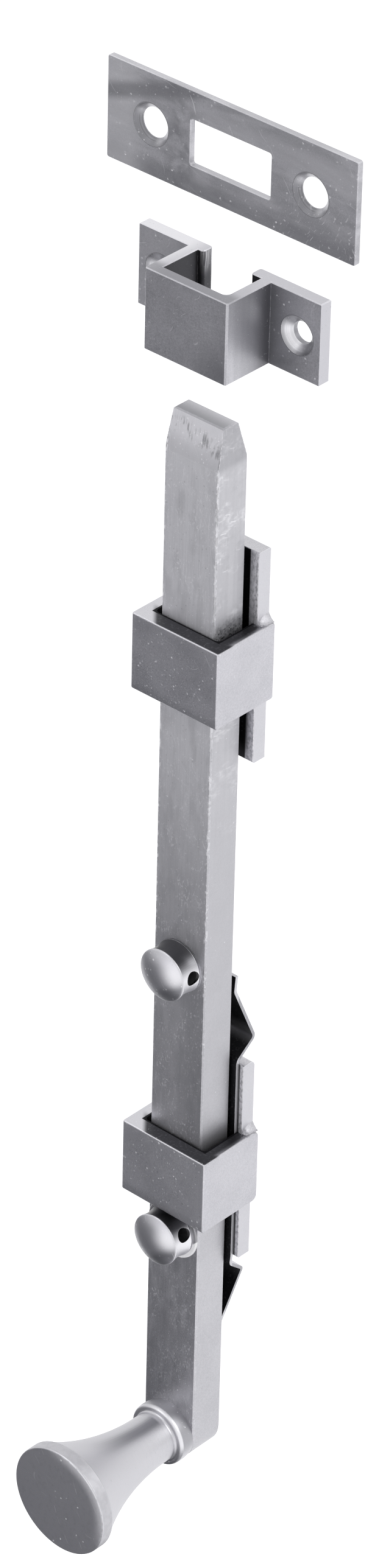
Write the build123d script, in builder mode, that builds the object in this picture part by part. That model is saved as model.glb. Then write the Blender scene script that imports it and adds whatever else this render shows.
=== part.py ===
from build123d import *
import os

# A hand-thrown surface bolt with its box keeper and strike plate.
# Millimetres. The door face is y = 0, the front looks along -Y and +Z is up.
# The origin is on the door face, level with the middle of the lower guide.
# A distance called a standoff is measured from the door face towards the front.

# Bar
bar_width = 15.875
bar_depth = 9.525
bar_edge_break = 0.35
tip_edge_break = 0.3
tip_above_upper_guide = 62.2
tip_bevel_length = 10.0
tip_front_relief = 2.0
tip_back_relief = 2.8
tip_side_relief = 0.7
knob_below_lower_guide = 77.5

# Running room of the bar in its guides
bar_side_clearance = 1.6
bar_front_clearance = 0.35
bar_back_clearance = 1.4
throw = 41.65
stop_contact_gap = 0.05

# Guides
guide_spacing = 139.7
sleeve_height = 20.0
sleeve_front_wall = 3.85
sleeve_side_wall = 3.4
sleeve_inner_radius = 1.2
sleeve_edge_round = 0.5
upper_sleeve_back_radius = 0.8
lower_sleeve_back_radius = 1.6
plate_width = 21.8
plate_thickness = 3.8
plate_fit = 0.05
plate_edge_round = 0.4
lower_tongue = 16.5
upper_guide_top_tongue = 18.6
lower_guide_top_tongue = 19.3
rounded_end_radius = 1.4
guide_screw_offset = 18.75

# Screw holes of the guides, the keeper and the strike plate
screw_hole_radius = 2.65
screw_head_radius = 4.6
strike_hole_radius = 3.55
strike_head_radius = 5.0
countersink_angle = 90

# Leaf spring, a bent strip that lies on the lower plate
spring_width = 18.6
spring_top_width = 16.2
spring_tail_width = 13.6
spring_thickness = 0.8
spring_bar_clearance = 0.3
spring_flick_length = 3.9
spring_flick_rise = 0.6
spring_neck_above_plate = 20.3
spring_top_bow_above_plate = 4.9
spring_top_bow = 2.3
spring_end_clearance = 0.6
spring_bottom_bend_below_plate = 2.3
spring_bottom_bow_below_plate = 6.5
spring_bottom_bow = 1.1
spring_tail_below_plate = 20.7
spring_screw_clearance = 0.4
spring_bend_radius = 1.5
spring_bow_radius = 1.6

# Turned stops
stop_radius = 6.7
stop_base_radius = 6.7
stop_waist_radius = 6.3
stop_groove_radius = 6.35
stop_foot_height = 0.3
stop_groove_height = 0.3
stop_rim_height = 5.9
stop_dome_height = 1.7
stop_rim_round = 0.25
stop_spigot_radius = 2.5
stop_spigot_length = 7.0
stop_spigot_clearance = 0.05
tommy_hole_radius = 1.8
tommy_hole_height = 2.45
upper_stop_turn = 3.0
lower_stop_turn = 23.0
lower_stop_below_guide = 0.6
washer_radius = 7.7
washer_thickness = 0.4
washer_bevel = 0.25

# Turned knob
knob_radius = 14.2875
knob_projection = 38.3
knob_flange_thickness = 3.2
knob_flange_step = 0.2
knob_rim_round = 0.45
knob_neck_radius = 6.45
knob_neck_start = 6.2
knob_bead_radius = 8.15
knob_bead_crest = 2.0
knob_bead_foot_radius = 7.9
knob_bead_end_radius = 7.95
knob_bead_length = 4.4
knob_bead_round = 0.8
knob_bead_cove = 0.65
knob_bore_radius = 2.1
knob_bore_depth = 12.0

# Countersunk screw that holds the knob from the back of the bar
knob_screw_radius = 2.0
knob_screw_head_radius = 4.0
knob_screw_clearance = 0.1
knob_screw_reach = 10.0
knob_screw_slot_width = 1.0
knob_screw_slot_depth = 1.1

# Box keeper
keeper_height = 20.0
keeper_length = 52.5
keeper_wing_thickness = 3.2
keeper_front_wall = 2.8
keeper_side_wall = 2.8
keeper_side_clearance = 1.2
keeper_left_lip = 1.6
keeper_right_lip = 3.0
keeper_lip_round = 0.8
keeper_inner_radius = 1.3
keeper_edge_break = 0.4
keeper_end_break = 0.2
keeper_hole_spacing = 39.4
keeper_above_tip = 24.6
keeper_standoff = 0.8

# Strike plate
strike_length = 71.2
strike_height = 24.6
strike_thickness = 1.6
strike_corner_radius = 0.6
strike_edge_break = 0.15
strike_slot_length = 23.0
strike_slot_height = 11.0
strike_slot_radius = 0.6
strike_hole_spacing = 45.6
strike_standoff = 3.1
strike_above_keeper = 35.3

# Standoffs and heights that follow from the sizes above
bar_back = plate_thickness + bar_back_clearance
bar_front = bar_back + bar_depth
sleeve_inner_front = bar_front + bar_front_clearance
sleeve_front = sleeve_inner_front + sleeve_front_wall
cavity_width = bar_width + 2 * bar_side_clearance
sleeve_width = cavity_width + 2 * sleeve_side_wall
stop_hole_radius = stop_spigot_radius + stop_spigot_clearance
stop_height = stop_rim_height + stop_dome_height
upper_guide_z = guide_spacing
lower_guide_z = 0.0
tip_z = upper_guide_z + tip_above_upper_guide
knob_z = lower_guide_z - knob_below_lower_guide
upper_stop_z = lower_guide_z + sleeve_height / 2 + stop_radius + throw + stop_contact_gap
lower_stop_z = lower_guide_z - sleeve_height / 2 - lower_stop_below_guide - stop_radius
keeper_z = tip_z + keeper_above_tip
strike_z = keeper_z + strike_above_keeper
lower_plate_top = lower_guide_z + sleeve_height / 2 + lower_guide_top_tongue
lower_plate_bottom = lower_guide_z - sleeve_height / 2 - lower_tongue

os.makedirs("parts", exist_ok=True)


def write(part, name):
    """Labels a finished piece and writes it."""
    part.label = name
    export_step(part, f"parts/{name}.step")


def front_plane(standoff):
    """The plane parallel to the door, with X across and Z up, facing the front."""
    return Plane.XZ.offset(standoff)


def turning_plane(z, standoff=bar_front):
    """A plane for turned profiles: x is the distance out of the bar, y the radius."""
    return Plane(origin=(0, -standoff, z), x_dir=(0, -1, 0), z_dir=(-1, 0, 0))


def turning_axis(z):
    """The axis of a turned piece, square to the front of the bar."""
    return Axis((0, 0, z), (0, -1, 0))


# Flat bar: an outline with a round lower end, bevelled front and back at the tip
with BuildPart() as bolt_bar:
    with BuildSketch(front_plane(bar_back)):
        with BuildLine():
            Polyline(
                (-bar_width / 2, knob_z),
                (-bar_width / 2, tip_z - tip_bevel_length),
                (-bar_width / 2 + tip_side_relief, tip_z),
                (bar_width / 2 - tip_side_relief, tip_z),
                (bar_width / 2, tip_z - tip_bevel_length),
                (bar_width / 2, knob_z),
            )
            ThreePointArc((bar_width / 2, knob_z), (0, knob_z - bar_width / 2), (-bar_width / 2, knob_z))
        make_face()
    extrude(amount=bar_depth)
    broad_faces = bolt_bar.faces().filter_by(Axis.Y)
    chamfer(broad_faces.edges(), bar_edge_break)
    for face_standoff, relief in ((bar_front, tip_front_relief), (bar_back, -tip_back_relief)):
        with BuildSketch(Plane.YZ):
            with BuildLine():
                Polyline(
                    (-face_standoff, tip_z - tip_bevel_length),
                    (-face_standoff + relief, tip_z),
                    (-face_standoff, tip_z),
                    close=True,
                )
            make_face()
        extrude(amount=bar_width, both=True, mode=Mode.SUBTRACT)
    chamfer(bolt_bar.faces().sort_by(Axis.Z)[-1].edges(), tip_edge_break)
    with Locations(front_plane(bar_front)):
        with Locations((0, upper_stop_z), (0, lower_stop_z)):
            Hole(stop_hole_radius, depth=stop_spigot_length + stop_spigot_clearance)
    with Locations(Plane(origin=(0, -bar_back, knob_z), x_dir=(1, 0, 0), z_dir=(0, 1, 0))):
        CounterSinkHole(
            knob_screw_radius + knob_screw_clearance,
            knob_screw_head_radius,
            depth=bar_depth,
            counter_sink_angle=countersink_angle,
        )
write(bolt_bar.part, "bolt_bar")


def guide_sleeve(centre_z, back_radius):
    """Three-sided sleeve over the bar, rebated at the back for its plate."""
    with BuildPart() as sleeve:
        with BuildSketch(Plane.XY.offset(centre_z - sleeve_height / 2)):
            with Locations((0, -sleeve_front / 2)):
                Rectangle(sleeve_width, sleeve_front)
            with Locations((0, -sleeve_inner_front / 2)):
                Rectangle(cavity_width, sleeve_inner_front, mode=Mode.SUBTRACT)
            with Locations((0, -plate_thickness / 2)):
                Rectangle(plate_width + 2 * plate_fit, plate_thickness, mode=Mode.SUBTRACT)
        extrude(amount=sleeve_height)
        inner_corners = sleeve.edges().filter_by(Axis.Z).filter_by_position(
            Axis.Y, -sleeve_inner_front, -sleeve_inner_front
        )
        fillet(inner_corners, sleeve_inner_radius)
        back_corners = sleeve.edges().filter_by(Axis.X).filter_by_position(Axis.Y, 0, 0)
        fillet(back_corners, back_radius)
        front_face = sleeve.faces().sort_by(Axis.Y)[0]
        side_faces = sleeve.faces().filter_by(Axis.X).sort_by(Axis.X)
        fillet(front_face.edges() + side_faces[0].edges() + side_faces[-1].edges(), sleeve_edge_round)
    return sleeve.part


def guide_plate(centre_z, top_tongue, top_radius):
    """Back plate with a screw tongue above and below its sleeve."""
    top = centre_z + sleeve_height / 2 + top_tongue
    bottom = centre_z - sleeve_height / 2 - lower_tongue
    with BuildPart() as plate:
        with BuildSketch(front_plane(0)):
            with Locations((0, (top + bottom) / 2)):
                Rectangle(plate_width, top - bottom)
        extrude(amount=plate_thickness)
        front_face = plate.faces().sort_by(Axis.Y)[0]
        fillet(front_face.edges(), plate_edge_round)
        back_top_edge = plate.faces().sort_by(Axis.Y)[-1].edges().sort_by(Axis.Z)[-1]
        fillet(back_top_edge, top_radius)
        with Locations(front_plane(plate_thickness)):
            with Locations((0, centre_z + guide_screw_offset), (0, centre_z - guide_screw_offset)):
                CounterSinkHole(screw_hole_radius, screw_head_radius, counter_sink_angle=countersink_angle)
    return plate.part


write(guide_sleeve(upper_guide_z, upper_sleeve_back_radius), "upper_guide_sleeve")
write(guide_sleeve(lower_guide_z, lower_sleeve_back_radius), "lower_guide_sleeve")
write(guide_plate(upper_guide_z, upper_guide_top_tongue, plate_edge_round), "upper_guide_plate")
write(guide_plate(lower_guide_z, lower_guide_top_tongue, rounded_end_radius), "lower_guide_plate")

# Leaf spring: its back face runs down the front of the lower plate, bows back past both
# ends of the plate, and comes forward again to press the back of the bar with tapered ends
spring_near_bar = bar_back - spring_bar_clearance - spring_thickness
spring_neck = lower_plate_top + spring_neck_above_plate
spring_top = spring_neck + spring_flick_length
spring_bottom = lower_plate_bottom - spring_tail_below_plate
with BuildPart() as leaf_spring:
    with BuildSketch(Plane.YZ):
        with BuildLine():
            back_face = FilletPolyline(
                (-spring_near_bar + spring_flick_rise, spring_top),
                (-spring_near_bar, spring_neck),
                (spring_top_bow, lower_plate_top + spring_top_bow_above_plate),
                (-plate_thickness, lower_plate_top + spring_end_clearance),
                (-plate_thickness, lower_plate_bottom - spring_bottom_bend_below_plate),
                (spring_bottom_bow, lower_plate_bottom - spring_bottom_bow_below_plate),
                (-spring_near_bar, spring_bottom),
                radius=[
                    spring_bend_radius,
                    spring_bow_radius,
                    spring_bend_radius,
                    spring_bend_radius,
                    spring_bend_radius,
                ],
            )
            offset(back_face, amount=spring_thickness, side=Side.RIGHT)
        make_face()
    extrude(amount=spring_width / 2, both=True)
    with BuildSketch(front_plane(-spring_top_bow)):
        with BuildLine():
            Polyline(
                (spring_top_width / 2, spring_top),
                (spring_width / 2, lower_plate_top),
                (spring_width / 2, lower_plate_bottom),
                (spring_tail_width / 2, spring_bottom),
            )
            mirror(about=Plane.YZ)
            Line((spring_top_width / 2, spring_top), (-spring_top_width / 2, spring_top))
            Line((spring_tail_width / 2, spring_bottom), (-spring_tail_width / 2, spring_bottom))
        make_face()
    extrude(amount=spring_top_bow + bar_back, mode=Mode.INTERSECT)
    with Locations(front_plane(plate_thickness + spring_thickness)):
        with Locations((0, lower_guide_z + guide_screw_offset), (0, lower_guide_z - guide_screw_offset)):
            Hole(screw_head_radius + spring_screw_clearance, depth=2 * spring_thickness)
write(leaf_spring.part, "leaf_spring")


def turned_stop(z, seat_height, hole_turn):
    """Domed stop with a waist, a foot groove, a threaded spigot and a tommy bar hole."""
    body_start = stop_foot_height + stop_groove_height
    spigot_end = stop_spigot_length - seat_height
    dome_radius = (stop_radius**2 + stop_dome_height**2) / (2 * stop_dome_height)
    dome_centre_standoff = bar_front + seat_height + stop_height - dome_radius
    with BuildPart() as stop:
        with BuildSketch(turning_plane(z, bar_front + seat_height)):
            with BuildLine():
                Polyline(
                    (stop_height, 0),
                    (-spigot_end, 0),
                    (-spigot_end, stop_spigot_radius),
                    (0, stop_spigot_radius),
                    (0, stop_base_radius),
                    (stop_foot_height, stop_base_radius),
                    (stop_foot_height, stop_groove_radius),
                    (body_start, stop_groove_radius),
                    (body_start, stop_base_radius),
                )
                ThreePointArc(
                    (body_start, stop_base_radius),
                    ((body_start + stop_rim_height) / 2, stop_waist_radius),
                    (stop_rim_height, stop_radius),
                )
                Polyline((stop_rim_height, stop_radius), (stop_height, stop_radius), (stop_height, 0))
            make_face()
        revolve(axis=turning_axis(z))
        with Locations((0, -dome_centre_standoff, z)):
            Sphere(dome_radius, mode=Mode.INTERSECT)
        dome = stop.faces().filter_by(GeomType.SPHERE)
        fillet(dome.edges(), stop_rim_round)
        hole_standoff = bar_front + seat_height + tommy_hole_height
        with BuildSketch(Plane((0, -hole_standoff, z), z_dir=Vector(1, 0, 0).rotate(Axis.Y, -hole_turn))):
            Circle(tommy_hole_radius)
        extrude(amount=stop_radius, both=True, mode=Mode.SUBTRACT)
    return stop.part


write(turned_stop(upper_stop_z, 0, upper_stop_turn), "upper_stop")
write(turned_stop(lower_stop_z, washer_thickness, lower_stop_turn), "lower_stop")

# Bevelled washer under the lower stop, cut flat where it meets the guide
washer_flat = stop_radius + lower_stop_below_guide - stop_contact_gap
with BuildPart() as lower_stop_washer:
    with BuildSketch(Plane(origin=(0, -bar_front, lower_stop_z), x_dir=(1, 0, 0), z_dir=(0, -1, 0))):
        Circle(washer_radius)
        with Locations((0, washer_flat)):
            Rectangle(2 * washer_radius, washer_radius, align=(Align.CENTER, Align.MIN), mode=Mode.SUBTRACT)
        Circle(stop_hole_radius, mode=Mode.SUBTRACT)
    extrude(amount=washer_thickness)
    rim = lower_stop_washer.faces().sort_by(Axis.Y)[0].edges().sort_by(SortBy.LENGTH)[-1]
    chamfer(rim, washer_bevel)
write(lower_stop_washer.part, "lower_stop_washer")

# Knob: a bead on the bar, a neck that flares on one radius, and a flat flange
flange_back = knob_projection - knob_flange_thickness
with BuildPart() as knob:
    with BuildSketch(turning_plane(knob_z)):
        with BuildLine():
            ThreePointArc(
                (0, knob_bead_foot_radius),
                (knob_bead_crest, knob_bead_radius),
                (knob_bead_length, knob_bead_end_radius),
            )
            Polyline(
                (knob_bead_length, knob_bead_end_radius),
                (knob_bead_length, knob_neck_radius),
                (knob_neck_start, knob_neck_radius),
            )
            TangentArc(
                (knob_neck_start, knob_neck_radius),
                (flange_back, knob_radius - knob_flange_step),
                tangent=(1, 0),
            )
            Polyline(
                (flange_back, knob_radius - knob_flange_step),
                (flange_back, knob_radius),
                (knob_projection, knob_radius),
                (knob_projection, 0),
                (knob_bore_depth, 0),
                (knob_bore_depth, knob_bore_radius),
                (0, knob_bore_radius),
                (0, knob_bead_foot_radius),
            )
        make_face()
        for corner, corner_round in (
            ((knob_projection, knob_radius), knob_rim_round),
            ((knob_bead_length, knob_bead_end_radius), knob_bead_round),
            ((knob_bead_length, knob_neck_radius), knob_bead_cove),
        ):
            fillet(vertices().sort_by_distance(corner)[0], corner_round)
    revolve(axis=turning_axis(knob_z))
write(knob.part, "knob")

# Screw through the bar into the knob, its slotted head flush with the back of the bar
head_depth = knob_screw_head_radius - knob_screw_radius
with BuildPart() as knob_screw:
    with BuildSketch(turning_plane(knob_z)):
        with BuildLine():
            Polyline(
                (-bar_depth, 0),
                (-bar_depth, knob_screw_head_radius),
                (-bar_depth + head_depth, knob_screw_radius),
                (knob_screw_reach, knob_screw_radius),
                (knob_screw_reach, 0),
                close=True,
            )
        make_face()
    revolve(axis=turning_axis(knob_z))
    with BuildSketch(front_plane(bar_back)):
        with Locations((0, knob_z)):
            Rectangle(2 * knob_screw_head_radius, knob_screw_slot_width)
    extrude(amount=knob_screw_slot_depth, mode=Mode.SUBTRACT)
write(knob_screw.part, "knob_screw")

# Box keeper: a staple whose wings turn in behind the box as two lips
keeper_cavity_width = bar_width + 2 * keeper_side_clearance
keeper_box_width = keeper_cavity_width + 2 * keeper_side_wall
keeper_inner_front = bar_front + bar_front_clearance
keeper_front = keeper_inner_front + keeper_front_wall
keeper_wing_front = keeper_standoff + keeper_wing_thickness
keeper_wing_middle = keeper_standoff + keeper_wing_thickness / 2
keeper_mouth_left = -keeper_cavity_width / 2 + keeper_left_lip
keeper_mouth_right = keeper_cavity_width / 2 - keeper_right_lip
with BuildPart() as box_keeper:
    with BuildSketch(Plane.XY.offset(keeper_z - keeper_height / 2)):
        with Locations((0, -(keeper_front + keeper_standoff) / 2)):
            Rectangle(keeper_box_width, keeper_front - keeper_standoff)
        with Locations((0, -keeper_wing_middle)):
            Rectangle(keeper_length, keeper_wing_thickness)
        with Locations((0, -(keeper_inner_front + keeper_wing_front) / 2)):
            Rectangle(keeper_cavity_width, keeper_inner_front - keeper_wing_front, mode=Mode.SUBTRACT)
        with Locations(((keeper_mouth_left + keeper_mouth_right) / 2, -keeper_wing_middle)):
            Rectangle(keeper_mouth_right - keeper_mouth_left, keeper_wing_thickness, mode=Mode.SUBTRACT)
    extrude(amount=keeper_height)
    lip_ends = box_keeper.edges().filter_by(Axis.Z).filter_by_position(
        Axis.X, keeper_mouth_left, keeper_mouth_right
    )
    fillet(lip_ends, keeper_lip_round)
    box_corners = box_keeper.edges().filter_by(Axis.Z).filter_by_position(
        Axis.Y, -keeper_front, -keeper_front
    )
    chamfer(box_corners, keeper_edge_break)
    inner_corner = box_keeper.edges().filter_by(Axis.Z).filter_by_position(
        Axis.Y, -keeper_inner_front, -keeper_inner_front
    )
    fillet(inner_corner.sort_by(Axis.X)[-1], keeper_inner_radius)
    chamfer(box_keeper.faces().filter_by(Axis.Z).edges(), keeper_end_break)
    with Locations(front_plane(keeper_wing_front)):
        with Locations((-keeper_hole_spacing / 2, keeper_z), (keeper_hole_spacing / 2, keeper_z)):
            CounterSinkHole(screw_hole_radius, screw_head_radius, counter_sink_angle=countersink_angle)
write(box_keeper.part, "box_keeper")

# Strike plate: flat, slotted for the bar, two countersunk holes
strike_front = strike_standoff + strike_thickness
with BuildPart() as strike_plate:
    with BuildSketch(front_plane(strike_standoff)):
        with Locations((0, strike_z)):
            RectangleRounded(strike_length, strike_height, strike_corner_radius)
            RectangleRounded(strike_slot_length, strike_slot_height, strike_slot_radius, mode=Mode.SUBTRACT)
    extrude(amount=strike_thickness)
    chamfer(strike_plate.faces().filter_by(Axis.Y).edges(), strike_edge_break)
    with Locations(front_plane(strike_front)):
        with Locations((-strike_hole_spacing / 2, strike_z), (strike_hole_spacing / 2, strike_z)):
            CounterSinkHole(strike_hole_radius, strike_head_radius, counter_sink_angle=countersink_angle)
write(strike_plate.part, "strike_plate")
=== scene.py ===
import math

import bpy
from mathutils import Matrix, Vector, noise


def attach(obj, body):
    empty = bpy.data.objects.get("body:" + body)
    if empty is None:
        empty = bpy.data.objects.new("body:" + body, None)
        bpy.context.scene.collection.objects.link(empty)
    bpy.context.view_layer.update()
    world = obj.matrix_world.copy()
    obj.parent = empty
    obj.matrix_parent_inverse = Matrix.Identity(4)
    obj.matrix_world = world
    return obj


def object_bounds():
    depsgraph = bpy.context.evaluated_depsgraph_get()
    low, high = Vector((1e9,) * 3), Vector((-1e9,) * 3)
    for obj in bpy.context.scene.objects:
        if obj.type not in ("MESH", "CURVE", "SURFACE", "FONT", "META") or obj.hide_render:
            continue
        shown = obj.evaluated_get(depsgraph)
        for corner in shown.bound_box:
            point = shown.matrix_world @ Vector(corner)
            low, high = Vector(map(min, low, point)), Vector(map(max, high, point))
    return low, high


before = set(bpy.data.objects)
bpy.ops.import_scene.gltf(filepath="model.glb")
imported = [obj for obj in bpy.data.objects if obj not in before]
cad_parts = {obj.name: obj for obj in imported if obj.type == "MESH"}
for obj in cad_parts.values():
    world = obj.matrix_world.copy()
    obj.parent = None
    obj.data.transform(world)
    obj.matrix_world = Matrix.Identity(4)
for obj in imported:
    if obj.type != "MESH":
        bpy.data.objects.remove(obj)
solid_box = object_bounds()

MM_PER_M = 1000

# Places on the pieces, in millimetres from the door face and the middle of the lower guide
BAR_FRONT = -14.725
UPPER_STOP_Z = 58.4
LOWER_STOP_Z = -17.3
KNOB_Z = -77.5
TIP_Z = 201.9
BEVEL_START = TIP_Z - 10
UPPER_GUIDE_Z = 139.7
LOWER_GUIDE_Z = 0
PLATE_FRONT = -3.8
KEEPER_Z = 226.5
STRIKE_Z = 261.8
KNOB_FACE = 53
BEAD_FRONT = 18

# Sizes of the pieces, and how far their screws stand from the middle, in millimetres
BAR_SIDE = 7.9
GUIDE_TOP = 10
STOP_RADIUS = 6.7
STOP_RIM = 5.9
WASHER_THICKNESS = 0.4
KNOB_RADIUS = 14.3
GUIDE_SCREW_OUT = 18.75
KEEPER_SCREW_OUT = 19.7
STRIKE_SCREW_OUT = 22.8
SCREW_HEAD, SCREW_BORE = 4.6, 2.65
STRIKE_HEAD, STRIKE_BORE = 5.0, 3.55

# Greys of the steel, as linear colours
BRIGHT = (0.86, 0.855, 0.885)
PALE = (0.66, 0.655, 0.685)
LIGHT = (0.6, 0.595, 0.63)
SATIN = (0.565, 0.56, 0.59)
SHADED_SIDE = (0.55, 0.547, 0.58)
DULL = (0.43, 0.428, 0.455)
SHADE = (0.25, 0.25, 0.27)
# Near black, for dark marks and for painted shade in holes, gaps and corners
NEAR_BLACK = (0.05, 0.05, 0.056)
BLACK = (0.008, 0.008, 0.01)

# Camera
CAMERA_PLACE = (0.78581, -0.896715, 0.88523)
CAMERA_AZIMUTH = 41.638
CAMERA_ELEVATION = 33.346
CAMERA_ROLL = 1.394
FOCAL_LENGTH = 144.58
SENSOR_WIDTH = 36


def add_camera():
    """The photograph's camera, looking down on the front and the right side."""
    azimuth, elevation, roll = (math.radians(a) for a in (CAMERA_AZIMUTH, CAMERA_ELEVATION, CAMERA_ROLL))
    level_forward = Vector((-math.sin(azimuth), math.cos(azimuth), 0))
    forward = level_forward * math.cos(elevation) - Vector((0, 0, math.sin(elevation)))
    level = Vector((math.cos(azimuth), math.sin(azimuth), 0))
    upright = level.cross(forward)
    right = level * math.cos(roll) + upright * math.sin(roll)
    up = upright * math.cos(roll) - level * math.sin(roll)
    camera = bpy.data.objects.new("camera", bpy.data.cameras.new("camera"))
    aim = Matrix((right, up, -forward)).transposed().to_4x4()
    camera.matrix_world = Matrix.Translation(CAMERA_PLACE) @ aim
    camera.data.lens = FOCAL_LENGTH
    camera.data.sensor_width = SENSOR_WIDTH
    camera.data.clip_start = 0.05
    camera.data.clip_end = 50
    bpy.context.scene.collection.objects.link(camera)
    bpy.context.scene.camera = camera


# Two inputs and the output of a mix node, for colours and for values
MIX_COLOURS = (6, 7, 2)
MIX_VALUES = (2, 3, 0)
ORIGIN = (0.0, 0.0, 0.0)


def fill(tree, node, inputs):
    """Links the inputs of a node that come from sockets, and sets the others."""
    for key, value in inputs.items():
        if isinstance(value, bpy.types.NodeSocket):
            tree.links.new(value, node.inputs[key])
        else:
            node.inputs[key].default_value = value


def add(tree, kind, inputs=None, **settings):
    """Adds a node with its settings and its inputs."""
    node = tree.nodes.new(kind)
    for key, value in settings.items():
        setattr(node, key, value)
    fill(tree, node, inputs or {})
    return node


def maths(tree, operation, *values):
    """The result of a maths node."""
    return add(tree, "ShaderNodeMath", dict(enumerate(values)), operation=operation).outputs[0]


def vectors(tree, operation, *values):
    """A vector maths node."""
    return add(tree, "ShaderNodeVectorMath", dict(enumerate(values)), operation=operation)


def ramp(tree, value, start, end):
    """Rises smoothly from 0 at `start` to 1 at `end`."""
    inputs = {"Value": value, "From Min": start, "From Max": end, "To Min": 0.0, "To Max": 1.0}
    return add(tree, "ShaderNodeMapRange", inputs, interpolation_type="SMOOTHSTEP").outputs[0]


def clouds(tree, place, scale, detail, **settings):
    """The outputs of a noise node."""
    inputs = {"Vector": place, "Scale": scale, "Detail": detail}
    return add(tree, "ShaderNodeTexNoise", inputs, **settings).outputs


def mix(tree, kind, sockets, mask, under, over):
    """Takes `over` in place of `under` where the mask is 1."""
    first, second, out = sockets
    return add(tree, "ShaderNodeMix", {0: mask, first: under, second: over}, data_type=kind).outputs[out]


def blend(tree, mask, under, over):
    """Mixes two colours, where each is a socket or three numbers."""
    under, over = (c if isinstance(c, bpy.types.NodeSocket) else (*c, 1) for c in (under, over))
    return mix(tree, "RGBA", MIX_COLOURS, mask, under, over)


def blend_value(tree, mask, under, over):
    """Mixes two values."""
    return mix(tree, "FLOAT", MIX_VALUES, mask, under, over)


def new_group(name, inputs, outputs):
    """An empty shader node group, where a tuple makes a vector input and a number a plain one."""
    tree = bpy.data.node_groups.new(name, "ShaderNodeTree")
    for title, value in inputs.items():
        kind = "NodeSocketVector" if isinstance(value, tuple) else "NodeSocketFloat"
        tree.interface.new_socket(title, in_out="INPUT", socket_type=kind).default_value = value
    for title, kind in outputs.items():
        tree.interface.new_socket(title, in_out="OUTPUT", socket_type="NodeSocket" + kind)
    return tree, tree.nodes.new("NodeGroupInput").outputs, tree.nodes.new("NodeGroupOutput").inputs


def piece_place_group():
    """Where a point lies on the piece, in millimetres, and which way the surface faces."""
    tree, _, out = new_group(
        "Place on the piece",
        {},
        {"Place": "Vector", "Flat": "Vector", "Facing": "Vector", "X": "Float", "Y": "Float", "Z": "Float"},
    )
    texture = add(tree, "ShaderNodeTexCoord")
    place = vectors(tree, "SCALE", texture.outputs["Object"])
    place.inputs["Scale"].default_value = MM_PER_M
    parts = add(tree, "ShaderNodeSeparateXYZ", {0: place.outputs[0]})
    across = maths(tree, "ADD", parts.outputs[0], parts.outputs[1])
    skew = maths(tree, "MULTIPLY", maths(tree, "SUBTRACT", parts.outputs[0], parts.outputs[1]), 0.35)
    along = maths(tree, "ADD", parts.outputs[2], skew)
    flat = add(tree, "ShaderNodeCombineXYZ", {0: across, 1: along})
    tree.links.new(place.outputs[0], out["Place"])
    tree.links.new(flat.outputs[0], out["Flat"])
    tree.links.new(texture.outputs["Normal"], out["Facing"])
    for title, socket in zip("XYZ", parts.outputs):
        tree.links.new(socket, out[title])
    return tree


def grain_group():
    """Fine satin grain, a mottle of a few millimetres and slow clouds."""
    tree, given, out = new_group(
        "Satin grain",
        {"Place": ORIGIN, "Fine": 3.6, "Mottle": 1.7, "Cloud": 0.11},
        {"Fine": "Float", "Mottle": "Float", "Cloud": "Float"},
    )
    layers = (("Fine", 3.0, 0.3, 0.7), ("Mottle", 5.0, 0.34, 0.66), ("Cloud", 3.0, 0.36, 0.64))
    for title, detail, low, high in layers:
        cloudy = clouds(tree, given["Place"], given[title], detail)["Fac"]
        tree.links.new(ramp(tree, cloudy, low, high), out[title])
    return tree


def speck_group():
    """Scattered specks of uneven outline, size and brightness, in some cells of a loose grid."""
    tree, given, out = new_group(
        "Specks",
        {"Place": ORIGIN, "Spacing": 1.2, "Size": 0.16, "Share": 0.3},
        {"Mask": "Float"},
    )
    ragged = clouds(tree, given["Place"], 4.0, 1.0)["Color"]
    centred = vectors(tree, "SUBTRACT", ragged, (0.5, 0.5, 0.5))
    shift = vectors(tree, "SCALE", centred.outputs[0])
    tree.links.new(maths(tree, "MULTIPLY", given["Size"], 2.0), shift.inputs["Scale"])
    moved = vectors(tree, "ADD", given["Place"], shift.outputs[0])
    density = maths(tree, "DIVIDE", 1.0, given["Spacing"])
    cells = add(tree, "ShaderNodeTexVoronoi", {"Vector": moved.outputs[0], "Scale": density})
    chance = add(tree, "ShaderNodeSeparateColor", {0: cells.outputs["Color"]})
    kept = maths(tree, "LESS_THAN", chance.outputs[0], given["Share"])
    size = maths(tree, "MULTIPLY", given["Size"], maths(tree, "ADD", chance.outputs[1], 0.35))
    reach = maths(tree, "DIVIDE", cells.outputs["Distance"], maths(tree, "MULTIPLY", size, density))
    glow = maths(tree, "MULTIPLY_ADD", chance.outputs[2], 0.75, 0.25)
    dot = maths(tree, "MULTIPLY", ramp(tree, reach, 1.0, 0.45), kept)
    tree.links.new(maths(tree, "MULTIPLY", dot, glow), out["Mask"])
    return tree


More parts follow.
